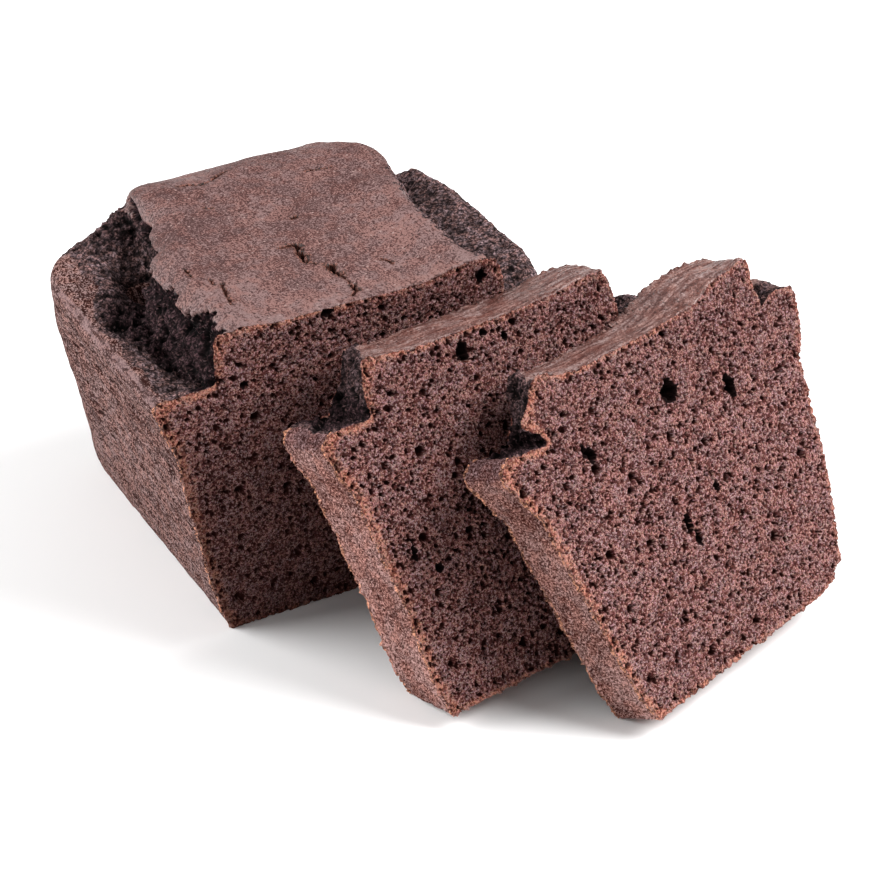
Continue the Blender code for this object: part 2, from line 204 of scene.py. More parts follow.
# Where a tone changes over the cake: from one place to another, and its share at the first and at the second,
# or else 0 and 1
RIM_WIDER, RIM_WARMER = (-22.0, -42.0, 0.0, 0.2), (20.0, -20.0, 0.6, 1.0)  # across
# Painted shade on the cut crumb, by height: the loaf's darker lower down, a slice's darker higher up
LOAF_SHADE, SLICE_SHADE = (40.0, 72.0, 0.58, 0.90), (48.0, 70.0, 1.0, 0.86)  # high
# Painted sheen on the loaf's crust: lighter towards the cut, paler along the cut itself, a little on the
# right
TOP_NEAR, SHEEN_NEAR = (32.0, 6.0, 0.0, 0.36), (9.0, 1.0)  # deep
TOP_RIGHT = (0.0, 25.0, 0.0, 0.04)  # across
# The slices' tops: lighter towards the right end as painted sheen, and a little lighter towards the left
SLICE_TOP_RIGHT, SLICE_TOP_LEFT = (6.0, 22.0, 0.0, 1.0), (12.0, -12.0, 0.0, 0.1)  # across
SIDE_LOW, SLICE_LIP = (45.0, 15.0, 0.0, 0.08), (64.5, 66.5)  # high
RIDGE_ACROSS, RIDGE_HIGH = (48.8, 49.5), (65.4, 67.0)

# Sheen: the crumb's, then what the crust adds to it, then what the slices' crust adds to that. The crust
# takes a patchy share from the roughness
SPECULAR, CRUST_SPECULAR, WET_SPECULAR = 0.06, 0.24, 0.2
ROUGHNESS, CRUST_SMOOTHER, WET_SMOOTHER = 0.9, (0.3, 0.46), -0.2
BUMP_STRENGTH, BUMP_HEIGHT = 0.7, 0.0004  # the height in metres

# Colours, as linear red, green and blue. A list of them goes from dark to light
CRUMB = ((0.030, 0.004, 0.0035), (0.12, 0.050, 0.0455), (0.208, 0.106, 0.100), (0.33, 0.19, 0.18))
CRUMB_RIM_TINT = (1.32, 1.02, 0.76)
# Painted shade inside the cut crumb's pores and large holes
PORE = (0.018, 0.004, 0.003)
HOLE = (0.006, 0.002, 0.002)
LOAF_TOP = ((0.050, 0.017, 0.015), (0.108, 0.051, 0.047), (0.185, 0.103, 0.095))
# Painted sheen, pale, along the loaf's cut
LOAF_TOP_SHEEN = (0.205, 0.125, 0.116)
# The light end is partly painted highlight, reached on the wrinkles
SLICE_TOP = ((0.045, 0.013, 0.010), (0.122, 0.052, 0.043), (0.27, 0.175, 0.16))
DARK_DOT, LIGHT_DOT = (0.035, 0.012, 0.010), (0.26, 0.17, 0.155)
# A crack's crumbly edge, and the painted shade inside it
CRACK_EDGE, CRACK_INSIDE = (0.13, 0.050, 0.037), (0.030, 0.010, 0.007)
TORN_LILAC, TORN_BROWN = (0.116, 0.078, 0.082), (0.116, 0.065, 0.061)
# Painted shade on the torn crumb: where it lies deep, and near black in the shadow under the crust's edge
TORN_SHADE, TORN_SHADOW = (0.030, 0.016, 0.018), (0.010, 0.004, 0.005)
LOAF_SIDE = ((0.024, 0.007, 0.0055), (0.124, 0.064, 0.056), (0.25, 0.155, 0.145))
SLICE_SIDE = ((0.045, 0.012, 0.009), (0.185, 0.090, 0.078), (0.42, 0.24, 0.215))
SLICE_LIP_TINT = (0.62, 0.64, 0.72)
RIDGE = (0.20, 0.130, 0.130)
WORN_EDGE = (0.50, 0.225, 0.14)
# Painted shade in the side crust's pinholes and creases
SPECK = (0.014, 0.005, 0.004)
WARM_TINT, COOL_TINT = (1.05, 0.97, 0.93), (0.96, 1.02, 1.05)
VARIED_SPAN, VARIED_FROM = (0.7, 0.35, 0.7), (0.65, 0.825, 0.65)


# Meshes


def smooth(value, low, high):
    """0 at low, 1 at high, smooth between, also with high below low."""
    share = np.clip((value - low) / (high - low), 0.0, 1.0)
    return share * share * (3 - 2 * share)


def read(collection, name, width, kind=np.float64):
    """One property of a mesh's elements as an array with a row each."""
    values = np.empty(len(collection) * width, np.int32 if kind is int else np.float32)
    collection.foreach_get(name, values)
    return values.reshape(-1, width).astype(np.int64 if kind is int else np.float64)


def store(mesh, name, values):
    """Keeps one to three numbers a vertex as an attribute that shaders and displacement read as a vector."""
    columns = np.zeros((len(values), 3), np.float32)
    columns[:, : values.shape[1]] = values
    attribute = mesh.attributes.new(name, "FLOAT_VECTOR", "POINT")
    attribute.data.foreach_set("vector", columns.ravel())


def kept_rows(mesh, name):
    """What store() kept, with a row of three numbers for each vertex."""
    rows = np.empty(len(mesh.vertices) * 3, np.float32)
    mesh.attributes[name].data.foreach_get("vector", rows)
    return rows.reshape(-1, 3)


def own_frame(node):
    """The node's frame as a matrix in metres: across, deep, high, and the middle of the cut face's foot."""
    mesh = node.data
    points = read(mesh.vertices, "co", 3)
    normals, areas = read(mesh.polygons, "normal", 3), read(mesh.polygons, "area", 1)[:, 0]
    kinds, index = np.unique(np.round(normals, 2), axis=0, return_inverse=True)
    weight = np.bincount(index.ravel(), areas) * (kinds[:, 1] < -0.5)
    deep = -normals[index.ravel() == np.argmax(weight)].mean(0)
    deep /= np.linalg.norm(deep)
    across = np.array([deep[1], -deep[0], 0.0])
    across /= np.linalg.norm(across)
    high = np.cross(across, deep)
    standing = points[points[:, 2] < 1e-5]
    into = standing @ deep
    edge = standing[into < into.min() + 1e-4]
    sides = edge @ across
    middle = edge.mean(0) + across * ((sides.min() + sides.max()) / 2 - sides.mean())
    middle -= deep * (middle @ deep - (points @ deep).min())
    own = np.eye(4)
    own[:3, 0], own[:3, 1], own[:3, 2], own[:3, 3] = across, deep, high, middle
    return own


def to_own(points, own):
    return (points - own[:3, 3]) @ own[:3, :3] / MM


def evaluated(obj):
    graph = bpy.context.evaluated_depsgraph_get()
    return bpy.data.meshes.new_from_object(obj.evaluated_get(graph))


def dense_copy(node, name, voxel):
    """A new object with the node's shape in even small faces."""
    obj = bpy.data.objects.new(name, node.data.copy())
    bpy.context.scene.collection.objects.link(obj)
    remesh = obj.modifiers.new("remesh", "REMESH")
    remesh.mode = "VOXEL"
    remesh.voxel_size = voxel * MM
    remesh.use_smooth_shade = True
    mesh = evaluated(obj)
    obj.modifiers.clear()
    obj.data = mesh
    return obj


def links(mesh):
    """The mesh's edges as pairs of vertices, and how many of them meet at each vertex."""
    edges = read(mesh.edges, "vertices", 2, int)
    return edges, np.maximum(np.bincount(edges.ravel(), minlength=len(mesh.vertices)), 1)


def neighbour_mean(values, edges, degree):
    """For each vertex the mean of its neighbours' values."""
    total = np.zeros_like(values)
    for column in range(values.shape[1]):
        total[:, column] = np.bincount(edges[:, 0], values[edges[:, 1], column], len(values))
        total[:, column] += np.bincount(edges[:, 1], values[edges[:, 0], column], len(values))
    return total / degree[:, None]


def nudged(points, name):
    """The points with the corrections of the outline."""
    moved = points.copy()
    for centre, reach, shift in NUDGES[name]:
        away = np.linalg.norm((points - centre) / reach, axis=1)
        moved += smooth(away, 1.0, 0.0)[:, None] * np.array(shift)
    return moved


def without_facets(mesh, own, depth, name):
    """Corrects the mesh and smooths it, except near its cut faces. Returns the points in the own frame, the
    smoothed normals, and how far each point lies in an inner corner."""
    edges, degree = links(mesh)
    points = nudged(to_own(read(mesh.vertices, "co", 3), own), name)
    from_cut = points[:, 1] if depth is None else np.minimum(points[:, 1], depth - points[:, 1])
    share = smooth(from_cut, *RIM_KEPT) * smooth(points[:, 2], *FOOT_KEPT)
    for _ in range(SMOOTHING_ROUNDS):
        points += SMOOTHING_SHARE * share[:, None] * (neighbour_mean(points, edges, degree) - points)
    world = points * MM @ own[:3, :3].T + own[:3, 3]
    mesh.vertices.foreach_set("co", world.astype(np.float32).ravel())
    mesh.update()
    normals = read(mesh.vertices, "normal", 3)
    for _ in range(2):
        normals = neighbour_mean(normals, edges, degree)
        normals /= np.linalg.norm(normals, axis=1)[:, None]
    levelled = points
    for _ in range(HOLLOW_ROUNDS):
        levelled = neighbour_mean(levelled, edges, degree)
    hollow = ((levelled - points) * (normals @ own[:3, :3])).sum(1)
    return points, normals, smooth(hollow, *HOLLOW)


def bake_uvs(mesh, own):
    """Six flat projections of the shape before its relief, side by side, as a layout for baked textures."""
    rest = kept_rows(mesh, "rest")
    outward = kept_rows(mesh, "outward") @ own[:3, :3]
    corners = read(mesh.loops, "vertex_index", 1, int)[:, 0]
    counts = read(mesh.polygons, "loop_total", 1, int)[:, 0]
    faces = np.repeat(np.arange(len(counts)), counts)
    facing = np.zeros((len(counts), 3))
    np.add.at(facing, faces, outward[corners])
    axis = np.argmax(np.abs(facing), axis=1)
    side = axis * 2 + (facing[np.arange(len(axis)), axis] > 0)
    flat = np.zeros((len(corners), 2))
    left = 0.0
    tallest = 0.0
    for number in range(6):
        mine = side[faces] == number
        if not mine.any():
            continue
        kept = [i for i in range(3) if i != number // 2]
        place = rest[corners[mine]][:, kept]
        place = place - place.min(0)
        flat[mine] = place + (left, 0.0)
        left += place[:, 0].max() + UV_GAP
        tallest = max(tallest, place[:, 1].max())
    flat /= max(left, tallest)
    layer = mesh.uv_layers.new(name="OFBake")
    layer.data.foreach_set("uv", flat.astype(np.float32).ravel())


# Zones of the surface


def ripple(points, size, phase=0.0):
    """A cheap smooth unevenness from -1 to 1 that wanders with the place."""
    a, b, c = (points / size).T
    first = np.sin(a * 1.3 + 1.7 * np.sin(b * 0.9 + phase))
    second = np.sin(b * 1.1 + 1.3 * np.sin(c * 1.2 - a * 0.7 + phase))
    return (first + second) / 2


def cut_share(points, slope_deep, depth):
    """1 on a cut face: the front one and, on a slice, the back one too."""
    w = points[:, 1]
    cut = smooth(-slope_deep, *CUT_SLOPE) * (w < CUT_REACH)
    if depth is not None:
        cut = np.maximum(cut, smooth(slope_deep, *CUT_SLOPE) * (w > depth - CUT_REACH))
    return cut


def rim_share(mesh, cut, voxel):
    """1 at the outline of a cut face, fading inwards. It spreads like heat, from what is beside the cut."""
    edges, _ = links(mesh)
    near = edges[(cut[edges] > CUT_FROM).any(1)]
    kept, inner = np.unique(near, return_inverse=True)
    inner = inner.reshape(near.shape)
    degree = np.maximum(np.bincount(inner.ravel(), minlength=len(kept)), 1)
    beside = (cut[kept] <= CUT_FROM)[:, None]
    spread = np.where(beside, 1.0, 0.0)
    for _ in range(int((RIM_SPREAD / voxel) ** 2 / SPREAD_RATE)):
        spread = np.where(beside, 1.0, neighbour_mean(spread, inner, degree))
    rim = np.zeros(len(cut))
    rim[kept] = spread[:, 0]
    return rim * cut


def loaf_crust(points, slopes, wander):
    """1 on the loaf's plateau, between its ragged edges, and where the crust runs down the far end."""
    u, w, v = points.T
    left, right = np.interp(w, DEPTHS, CRUST_LEFT), np.interp(w, DEPTHS, CRUST_RIGHT)
    jag = 0.8 * wander + 0.9 * ripple(points, 0.55, 4.0)
    crust = smooth(v + 0.3 * wander, CRUST_FROM - CRUST_BLEND, CRUST_FROM + CRUST_BLEND)
    inside = smooth(u - left + jag, -0.3, 0.3) * smooth(right - u + jag, -0.3, 0.3)
    crust = crust * inside * smooth(slopes[2], *LOAF_CRUST_SLOPE)
    dome = smooth(w, DOME_DEPTH, DOME_DEPTH + 3) * smooth(v, DOME_FROM, DOME_FROM + 6)
    aside = np.where(u < 0, DOME_NARROWER - u, u) + wander
    dome = dome * smooth(aside, DOME_HALF, DOME_HALF - 4)
    return np.maximum(crust, dome * smooth(slopes[2], *DOME_UP) * smooth(slopes[1], *DOME_BACK))


def loaf_torn_shade(points, wander):
    """Painted shade on the loaf's torn crumb, from 0 to 1.5: its left shelf's floor and the wall above."""
    u, w, v = points.T
    inward = u - np.interp(w, DEPTHS, DARK_LEFT) + 0.8 * wander
    floor = (FLOOR_DARK - FLOOR_FADE * smooth(w, *FLOOR_FADES)) * smooth(inward, -2.0, 2.0)
    wall = np.zeros(len(points))
    for dark, unevenness, heights in WALL_DARK:
        wall = np.maximum(wall, dark * smooth(v + unevenness * wander, *heights))
    for dark, unevenness, heights, depths in FRONT_DARK:
        wall = np.maximum(wall, dark * smooth(v, *heights) * smooth(w + unevenness * wander, *depths))
    left = np.maximum(LEAST_DARK + floor, wall * smooth(u, *WALL_ACROSS))
    return np.where(u < 0, left, LEAST_DARK * smooth(u, *RIGHT_ACROSS))


def slice_crust(points, slopes, wander, name):
    """1 on a slice's top, as far as the crust's ragged end on the left."""
    u, w, v = points.T
    left, slant = SLICE_CRUST[name]
    crust = smooth(v + 0.3 * wander, CRUST_FROM - CRUST_BLEND, CRUST_FROM + CRUST_BLEND)
    crust = crust * smooth(slopes[2] + 0.06 * wander, *SLICE_CRUST_SLOPE)
    return crust * smooth(u - left - slant * w + 0.8 * wander, -0.4, 0.4)


def slice_torn_shade(points, wander):
    """Painted shade on a slice's torn crumb, from 0 to 1.15."""
    u, _, v = points.T
    left = SLICE_DARK + SLICE_DARKER * smooth(v + wander, *SLICE_DARKER_HIGH)
    dark = np.where(u < 0, left, SLICE_DARK_RIGHT)
    return dark * smooth(np.abs(u) + 0.8 * wander, TORN_HALF, TORN_HALF - 4.0)


def zones(mesh, points, normals, own, depth, voxel, name):
    """For each vertex its shares of cut face, crust and torn crumb, its closeness to the cut face's outline
    from inside (rim) and outside (edge), and the painted shade on it where it is torn."""
    u, w, v = points.T
    slopes = (normals @ own[:3, :3]).T
    wander = ripple(points, 2.2) + 0.6 * ripple(points, 0.8, 2.0)
    cut = cut_share(points, slopes[1], depth)
    if depth is None:
        from_cut = w
        crust, dark = loaf_crust(points, slopes, wander), loaf_torn_shade(points, wander)
        half = np.where(u < 0, TORN_HALF + (FLAP_HALF - TORN_HALF) * smooth(w, *FLAP_FROM), NO_LIP)
        lowest = np.where(u < 0, TORN_FROM, TORN_FROM - TORN_DROP)
    else:
        from_cut = np.minimum(w, depth - w)
        crust, dark = slice_crust(points, slopes, wander, name), slice_torn_shade(points, wander)
        half, lowest = np.where(u < 0, TORN_HALF - 1.0, NO_LIP), TORN_FROM
    torn = smooth(v, lowest - TORN_BLEND, lowest) * smooth(np.abs(u) + 0.7 * wander, half + 0.8, half - 0.8)
    torn *= (1 - crust) * np.where(u > RIGHT_LIP, smooth(slopes[2], 0.05, 0.25), 1.0)
    edge = smooth(from_cut, *EDGE_SPREAD) * (1 - cut)
    return cut, crust * (1 - cut), torn * (1 - cut), rim_share(mesh, cut, voxel), edge, dark


def flap(points, torn):
    """1 on the crust that is left on the torn shelf's far half, on the left, and ends in a small step."""
    u, w, _ = points.T
    ending = smooth(w + 1.2 * ripple(points, 1.8), FLAP_END + 0.4, FLAP_END - 0.4)
    return smooth(u, *FLAP_ACROSS) * smooth(w, *FLAP_DEEP) * ending * torn


def line_distance(points, line):
    """Distance of each (across, deep) point from a line through some points."""
    nearest = np.full(len(points), np.inf)
    for start, end in zip(line[:-1], line[1:]):
        start, run = np.array(start), np.subtract(end, start)
        share = np.clip((points - start) @ run / (run @ run), 0, 1)
        nearest = np.minimum(nearest, np.linalg.norm(points - start - share[:, None] * run, axis=1))
    return nearest


def cracks(points, crust):
    """How deep each vertex lies in a crack of the crust, in millimetres, and how open the crust is there: up
    to a half at the crack's crumbly edge, and more inside."""
    depth, gap = np.zeros(len(points)), np.zeros(len(points))
    wander = 0.5 * ripple(points, 0.7) + 0.45 * ripple(points, 0.33, 1.0)
    for line, half, deepest in CRACKS:
        away = line_distance(points[:, :2] + 0.5 * wander[:, None], line) + half * wander
        bowl = smooth(away, half, half * 0.25) + 0.15 * smooth(away, 4.0 * half, half)
        depth = np.maximum(depth, deepest * bowl)
        opening = 0.5 * smooth(away, 1.9 * half, 1.2 * half) + 0.5 * smooth(away, half, half * 0.6)
        gap = np.maximum(gap, opening)
    return depth * crust, gap * crust


def holes(points, cut, name):
    """How deep each vertex lies in one of the large holes of the front cut face, and how open it is there."""
    depth, gap = np.zeros(len(points)), np.zeros(len(points))
    wander = 0.25 * ripple(points, 0.6) + 0.15 * ripple(points, 0.3, 1.0)
    for across, high, half_width, half_height, deepest in HOLES[name]:
        away = np.hypot((points[:, 0] - across) / half_width, (points[:, 2] - high) / half_height) + wander
        depth = np.maximum(depth, deepest * smooth(away, 1.05, 0.6))
        gap = np.maximum(gap, smooth(away, 1.3, 1.1))
    front = cut * (points[:, 1] < 2 * CUT_REACH)
    return depth * front, gap * front


# Textures that the relief and the material share


class Graph:
    """Adds texture and maths nodes to a tree, for a material and for the relief alike."""

    def __init__(self, tree):
        self.tree = tree

    def node(self, kind, inputs, **settings):
        made = self.tree.nodes.new(kind)
        for name, value in settings.items():
            setattr(made, name, value)
        for name, value in inputs.items():
            if isinstance(value, bpy.types.NodeSocket):
                self.tree.links.new(value, made.inputs[name])
            else:
                made.inputs[name].default_value = value
        return made

    def maths(self, operation, a, b):
        return self.node("ShaderNodeMath", {0: a, 1: b}, operation=operation).outputs[0]

    def add(self, *terms):
        total = terms[0]
        for term in terms[1:]:
            total = self.maths("ADD", total, term)
        return total

    def times(self, *factors):
        total = factors[0]
        for factor in factors[1:]:
            total = self.maths("MULTIPLY", total, factor)
        return total

    def most(self, *values):
        total = values[0]
        for value in values[1:]:
            total = self.maths("MAXIMUM", total, value)
        return total

    def without(self, share):
        """What a share leaves of 1."""
        return self.maths("SUBTRACT", 1.0, share)

    def centred(self, value, middle=0.5):
        """The value around 0 instead of its middle."""
        return self.maths("SUBTRACT", value, middle)

    def step(self, value, low, high, least=0.0, most=1.0):
        """From least at low to most at high, smooth between and level beyond."""
        inputs = {0: value, 1: low, 2: high, 3: least, 4: most}
        return self.node("ShaderNodeMapRange", inputs, interpolation_type="SMOOTHSTEP").outputs[0]

    def vector(self, operation, a, b, c=(0.0, 0.0, 0.0)):
        return self.node("ShaderNodeVectorMath", {0: a, 1: b, 2: c}, operation=operation).outputs[0]

    def split(self, vector):
        return self.node("ShaderNodeSeparateXYZ", {0: vector}).outputs[:3]

    def noise(self, at, size, detail=2.0):
        """Smooth noise around 0.5, with lumps of about this size in millimetres: a number, and a colour."""
        return self.node("ShaderNodeTexNoise", {"Vector": at, "Scale": 1 / size, "Detail": detail}).outputs

    def uneven(self, at, size, detail=2.0):
        """The same noise as a number around 0."""
        return self.centred(self.noise(at, size, detail)[0])

    def cells(self, at, size):
        """Distance from the nearest of scattered points this far apart, and a random colour for each."""
        made = self.node("ShaderNodeTexVoronoi", {"Vector": at, "Scale": 1 / size})
        return made.outputs["Distance"], made.outputs["Color"]

    def warped(self, at, size, reach):
        """The place moved about by noise, so that round things become uneven."""
        wander = self.vector("SUBTRACT", self.noise(at, size, 1.0)[1], (0.5, 0.5, 0.5))
        return self.vector("ADD", at, self.vector("MULTIPLY", wander, (reach, reach, reach)))

    def pits(self, at, size, radius, kept):
        """1 inside round pits of that radius, in shares of their spacing; only that share of them is kept."""
        distance, colour = self.cells(at, size)
        chosen = self.step(self.split(colour)[0], 1 - kept, 1 - kept + 0.02)
        return self.times(self.step(distance, radius, radius * 0.45), chosen)

    def granules(self, at, size, dark_share, bright_share):
        """Grains of about this size: a brightness, low for a share of them, and 1 inside the bright ones."""
        distance, colour = self.cells(self.warped(at, size, 0.8 * size), size)
        chance = self.split(colour)[1]
        tone = self.step(chance, dark_share - 0.05, dark_share + 0.05, 0.2, 1.0)
        seam = self.step(distance, 0.85, 0.5, 0.5, 1.0)
        bright = self.step(chance, 0.97 - bright_share, 1.0 - bright_share)
        return self.times(tone, seam), self.times(bright, self.step(distance, 0.6, 0.35))

    def ramp(self, share, *colours):
        """A colour between these, which are evenly spaced from 0 to 1."""
        made = self.node("ShaderNodeValToRGB", {0: share})
        elements = made.color_ramp.elements
        for number in range(1, len(colours) - 1):
            elements.new(number / (len(colours) - 1))
        for element, colour in zip(elements, colours):
            element.color = (*colour, 1.0)
        return made.outputs[0]

    def mix(self, share, a, b):
        """Colour a where the share is 0 and b where it is 1. A colour is a node's output or three numbers."""
        a, b = ((*colour, 1.0) if isinstance(colour, tuple) else colour for colour in (a, b))
        return self.node("ShaderNodeMix", {0: share, 6: a, 7: b}, data_type="RGBA").outputs[2]

    def tinted(self, colour, tint):
        return self.vector("MULTIPLY", colour, tint)

    def scaled(self, colour, factor):
        made = self.node("ShaderNodeVectorMath", {0: colour, "Scale": factor}, operation="SCALE")
        return made.outputs[0]


def small_pores(graph, at):
    """1 inside the cut crumb's many small pores."""
    return graph.pits(graph.warped(at, 0.9, 0.9), *SMALL_PORES)


def pores(graph, at):
    """1 inside the cut crumb's other pores, middling and large."""
    far = graph.warped(at, 2.4, 2.0)
    return graph.pits(far, *MIDDLING_PORES), graph.pits(far, *LARGE_PORES)


def pinholes(graph, at):
    """1 in the side crust's small holes."""
    wide = graph.pits(graph.warped(at, 1.5, 1.0), *WIDE_PINHOLES)
    return graph.most(wide, graph.pits(graph.warped(at, 0.8, 0.6), *FINE_PINHOLES))


def creases(graph, at, whole):
    """1 in the short creases, painted dark as shade, that run lengthwise in the loaf's side crust, closest
    under the lip.
    """
    high = graph.split(at)[2]
    closeness = graph.times(graph.step(high, *CREASES_FROM), graph.step(high, *CREASES_TO))
    distance, colour = graph.cells(graph.vector("MULTIPLY", graph.warped(at, 2.5, 0.8), LENGTHWISE), 0.95)
    least, sure = graph.step(closeness, 0.0, 1.0, 0.78, 0.2), graph.step(closeness, 0.0, 1.0, 0.82, 0.25)
    chosen = graph.times(graph.step(graph.split(colour)[0], least, sure), graph.step(high, *CREASES_END))
    return graph.times(graph.step(distance, 0.5, 0.3), chosen, whole)


def crags(graph, at):
    """Height of the torn crumb in millimetres: rounded lumps with crevices between them, and some pits."""
    near = graph.warped(at, 1.3, 1.5)
    large, middling = graph.cells(near, 2.3)[0], graph.cells(near, 1.1)[0]
    large = graph.times(graph.maths("SUBTRACT", 0.5, large), 1.1)
    middling = graph.times(graph.maths("SUBTRACT", 0.45, middling), 0.9)
    hollow = graph.step(graph.noise(at, 4.0, 1.0)[0], 0.46, 0.34, 0.0, -1.0)
    pit = graph.times(graph.pits(near, *TORN_PITS), TORN_PIT)
    return graph.add(large, middling, hollow, pit, graph.times(graph.uneven(at, 0.7, 3.0), 1.1))


# Relief


def crumb_height(graph, at, rim, small, middling, large):
    return graph.add(
        graph.times(small, SMALL_PORE),
        graph.times(middling, MIDDLING_PORE),
        graph.times(large, LARGE_PORE),
        graph.times(graph.uneven(at, 0.8, 3.0), 0.7),
        graph.times(graph.uneven(at, 9.0), 0.5),
        graph.times(graph.uneven(at, 1.9), graph.step(rim, 0.6, 1.0), 1.6),
    )


def crust_height(graph, at, sliced):
    wrinkles = graph.uneven(graph.vector("MULTIPLY", at, SMEARED), 1.3)
    return graph.add(
        graph.times(graph.uneven(at, 15.0, 1.0), 1.2),
        graph.times(graph.uneven(at, 4.5), 0.45),
        graph.times(graph.uneven(at, 0.9), 0.2),
        graph.times(wrinkles, sliced, 1.1),
    )


def side_height(graph, at, sliced, holed, pored):
    return graph.add(
        graph.times(graph.uneven(at, 7.0), 0.8),
        graph.times(graph.uneven(at, 1.5, 3.0), graph.step(sliced, 0.0, 1.0, 0.25, 0.4)),
        graph.times(holed, PINHOLE),
        graph.times(creases(graph, at, graph.without(sliced)), CREASE),
        graph.times(pored, sliced, SIDE_PORE),
    )


def relief_group():
    """Moves each vertex along its stored direction by the height of what its zones are made of. Stores the
    height of the torn crumb, and where the larger pores and the pinholes are."""
    tree = bpy.data.node_groups.new("cake_relief", "GeometryNodeTree")
    tree.interface.new_socket("Geometry", in_out="INPUT", socket_type="NodeSocketGeometry")
    tree.interface.new_socket("Geometry", in_out="OUTPUT", socket_type="NodeSocketGeometry")
    graph = Graph(tree)

    def stored(name):
        return graph.node("GeometryNodeInputNamedAttribute", {0: name}, data_type="FLOAT_VECTOR").outputs[0]

    at = stored("rest")
    cut, crust, torn = graph.split(stored("zones"))
    rim, _, lift = graph.split(stored("marks"))
    dark, edge, sliced = graph.split(stored("tones"))
    small, (middling, large) = small_pores(graph, at), pores(graph, at)
    crag, holed = crags(graph, at), pinholes(graph, at)
    ragged = graph.add(graph.times(graph.uneven(at, 2.2), 2.2), graph.times(graph.uneven(at, 1.0), 1.2))
    side = graph.without(graph.add(cut, crust, torn))
    height = graph.add(
        graph.times(cut, crumb_height(graph, at, rim, small, middling, large)),
        graph.times(crust, crust_height(graph, at, sliced)),
        graph.times(torn, crag, graph.step(dark, 0.0, 1.0, 0.35, 1.0)),
        graph.times(side, side_height(graph, at, sliced, holed, graph.most(small, middling))),
        graph.times(edge, ragged),
        lift,
    )
    offset = graph.scaled(stored("outward"), graph.times(height, MM))
    start, end = tree.nodes.new("NodeGroupInput"), tree.nodes.new("NodeGroupOutput")
    moved = graph.node("GeometryNodeSetPosition", {"Geometry": start.outputs[0], "Offset": offset})
    pored = graph.most(middling, large)
    depths = graph.node("ShaderNodeCombineXYZ", {0: crag, 1: pored, 2: holed}).outputs[0]
    kept = graph.node(
        "GeometryNodeStoreNamedAttribute",
        {"Geometry": moved.outputs[0], "Name": "depths", "Value": depths},
        data_type="FLOAT_VECTOR",
    )
    tree.links.new(kept.outputs[0], end.inputs[0])
    return tree


def dress(node, name, relief, material):
    """The piece that stands for a CAD node: its shape, in small faces, with the relief of crumb and crust."""
    own = own_frame(node)
    voxel = VOXEL[node.name]
    obj = dense_copy(node, name, voxel)
    extent = to_own(read(node.data.vertices, "co", 3), own)
    depth = None if node.name == "loaf" else extent[:, 1].max()
    points, normals, hollow = without_facets(obj.data, own, depth, node.name)
    cut, crust, torn, rim, edge, dark = zones(obj.data, points, normals, own, depth, voxel, node.name)
    hole, gap = holes(points, cut, node.name)
    lift = CORNER[node.name] * hollow * torn - hole
    if depth is None:
        crack, opening = cracks(points, crust)
        gap = np.maximum(gap, opening)
        lift += FLAP_THICK * flap(points, torn) - crack
        lift -= UNDERCUT * torn * smooth(points[:, 2], *UNDERCUT_FROM) * (points[:, 0] < 0)
    sliced = np.full(len(points), float(depth is not None))
    store(obj.data, "rest", points)
    store(obj.data, "outward", normals)
    store(obj.data, "zones", np.stack([cut, crust, torn], 1))
    store(obj.data, "marks", np.stack([rim, gap, lift], 1))
    store(obj.data, "tones", np.stack([dark, edge, sliced], 1))
    displace = obj.modifiers.new("relief", "NODES")
    displace.node_group = relief
    triangles = 2 * len(obj.data.polygons)
    if triangles > MOST_TRIANGLES:
        fewer = obj.modifiers.new("fewer", "DECIMATE")
        fewer.ratio = MOST_TRIANGLES / triangles
    mesh = evaluated(obj)
    obj.modifiers.clear()
    obj.data = mesh
    bake_uvs(mesh, own)
    mesh.materials.clear()
    mesh.materials.append(material)
    mesh.shade_smooth()
    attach(obj, "root")
    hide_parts(node.name)


# Material


class Place:
    """What the material reads at each point: the stored zones, and noises of several sizes."""

    def __init__(self, graph):
        def stored(name):
            return graph.node("ShaderNodeAttribute", {}, attribute_name=name).outputs["Vector"]

        self.at = stored("rest")
        self.cut, self.crust, self.torn = graph.split(stored("zones"))
        self.rim, self.gap, _ = graph.split(stored("marks"))
        self.dark, self.edge, self.sliced = graph.split(stored("tones"))
        self.crag, self.pored, self.holed = graph.split(stored("depths"))
        self.across, self.deep, self.high = graph.split(self.at)
        self.whole = graph.without(self.sliced)
        self.opened = graph.step(self.gap, 0.55, 0.8)
        self.small = small_pores(graph, self.at)
        self.grain, self.bright = graph.granules(self.at, 0.5, 0.3, 0.12)
        self.fine = graph.noise(self.at, 0.3)[0]
        self.sandy = graph.noise(self.at, 0.42, 1.0)[0]
        self.patch = graph.noise(self.at, 4.0)[0]
        self.blotch = graph.noise(self.at, 1.4)[0]
        self.broad = graph.noise(self.at, 13.0, 1.0)[0]
        self.streaks = graph.noise(graph.vector("MULTIPLY", self.at, STREAKED), 1.0)[0]
        self.blotchy = graph.centred(self.blotch)
        self.broadly = graph.centred(self.broad)
        self.streaky = graph.times(graph.centred(self.streaks), 1.1)
        self.strong = graph.step(self.fine, 0.38, 0.62, 0.38, 1.6)
        grainy = graph.times(graph.centred(self.grain, 0.7), 0.5)
        self.lively = graph.add(graph.times(graph.centred(self.sandy), 3.4), grainy)
        self.cool = graph.mix(graph.step(self.patch, 0.4, 0.6), WARM_TINT, COOL_TINT)


